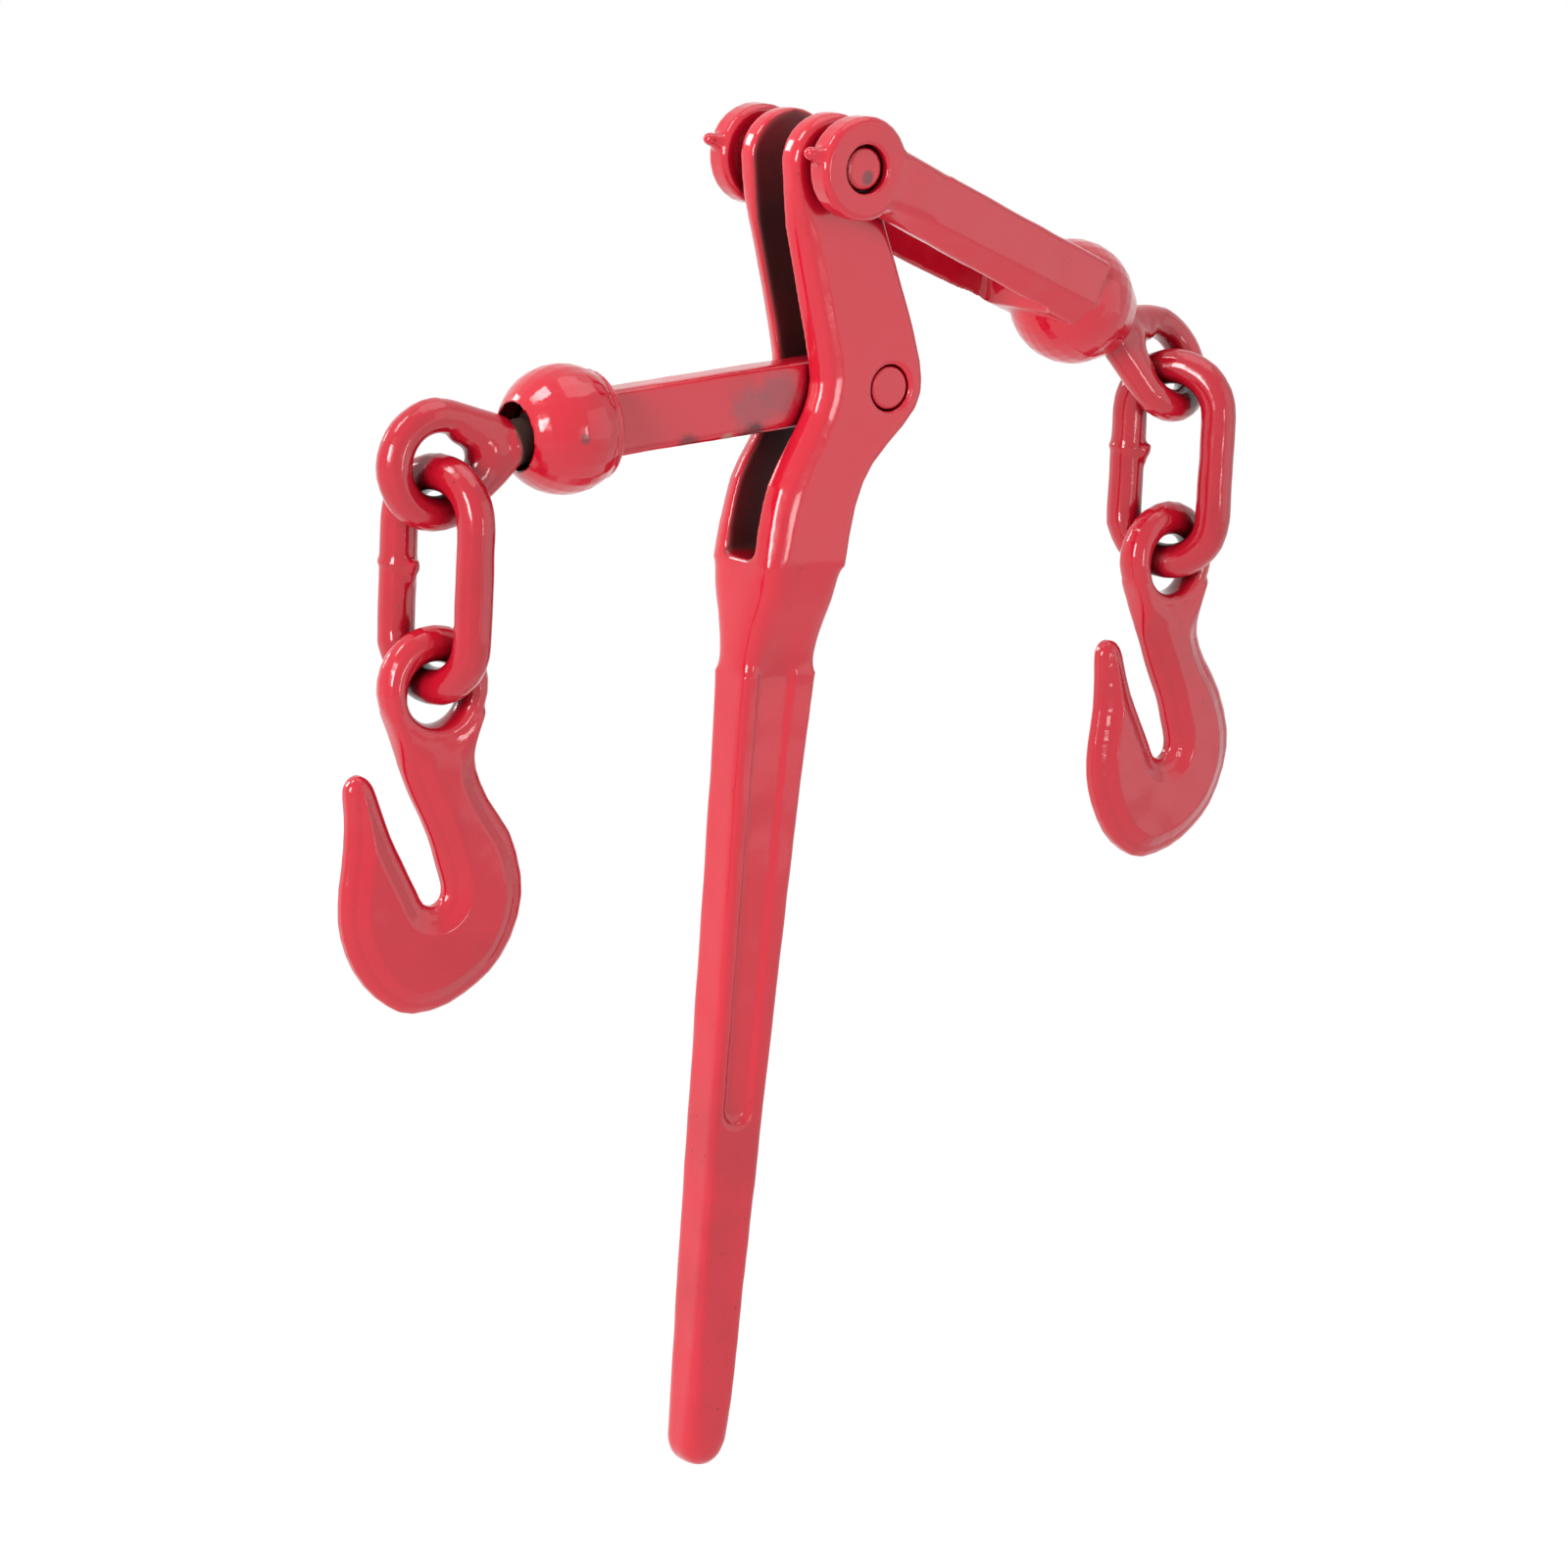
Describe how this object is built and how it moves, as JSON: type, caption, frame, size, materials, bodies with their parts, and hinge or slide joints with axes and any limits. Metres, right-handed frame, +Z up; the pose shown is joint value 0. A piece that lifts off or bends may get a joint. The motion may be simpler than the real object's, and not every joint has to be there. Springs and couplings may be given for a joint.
{
  "type": "lever load binder",
  "caption": "Forged lever-type chain load binder: forked lever, heel bar and clevis yoke, each ending in a ball swivel eye, a chain link and a grab hook.",
  "frame": {"origin": "midway between the lever's two trunnions, on their common axis", "axes": "+Z up, along the plumb chains and away from the handle's end; +Y along the trunnions and the knee pin; -X towards the heel bar's side"},
  "size_m": [0.2392, 0.0448, 0.3075],
  "materials": {
    "red_enamel": "gloss",
    "pin_enamel": "satin"
  },
  "bodies": {
    "lever": {"lever_handle": "red_enamel", "main_pivot_pin": "pin_enamel"},
    "heel_arm": {"heel_bar": "red_enamel"},
    "yoke": {"clevis_yoke": "red_enamel"},
    "heel_swivel": {"heel_swivel_eye": "red_enamel"},
    "yoke_swivel": {"yoke_swivel_eye": "red_enamel"},
    "heel_link": {"heel_chain_link": "red_enamel"},
    "yoke_link": {"yoke_chain_link": "red_enamel"},
    "heel_hook": {"heel_grab_hook": "red_enamel"},
    "yoke_hook": {"yoke_grab_hook": "red_enamel"}
  },
  "joints": [
    {"name": "heel_arm_hinge", "type": "hinge", "parent": "lever", "child": "heel_arm", "pos_m": [0.0172, 0, -0.0491], "axis": [0, 1, 0], "range_deg": [-36, 90]},
    {"name": "yoke_hinge", "type": "hinge", "parent": "lever", "child": "yoke", "pos_m": [0, 0, 0], "axis": [0, 1, 0], "range_deg": [-90, 50]},
    {"name": "heel_swivel_turn", "type": "hinge", "parent": "heel_arm", "child": "heel_swivel", "pos_m": [-0.06161, 0, -0.05697], "axis": [-0.9792, 0, -0.2028], "continuous": true},
    {"name": "yoke_swivel_turn", "type": "hinge", "parent": "yoke", "child": "yoke_swivel", "pos_m": [0.07646, 0, -0.0323], "axis": [0.8813, 0, -0.4726], "continuous": true},
    {"name": "heel_link_swing", "type": "hinge", "parent": "heel_swivel", "child": "heel_link", "pos_m": [-0.09265, 0, -0.06339], "axis": [0, 1, 0], "range_deg": [-65, 65]},
    {"name": "yoke_link_swing", "type": "hinge", "parent": "yoke_swivel", "child": "yoke_link", "pos_m": [0.1044, 0, -0.04728], "axis": [-0.2291, 0.8746, -0.4273], "range_deg": [-83, 83]},
    {"name": "heel_hook_swing", "type": "hinge", "parent": "heel_link", "child": "heel_hook", "pos_m": [-0.09192, 0, -0.1123], "axis": [0.0698, 0.9976, 0], "range_deg": [-5, 40]},
    {"name": "yoke_hook_swing", "type": "hinge", "parent": "yoke_link", "child": "yoke_hook", "pos_m": [0.10553, -0.00434, -0.09378], "axis": [0.0698, -0.9976, 0], "range_deg": [-40, 40]}
  ],
  "couplings": [
    {"joint": "heel_link_swing", "follows": "heel_arm_hinge", "ratio": -0.7},
    {"joint": "yoke_link_swing", "follows": "yoke_hinge", "ratio": -0.9}
  ]
}
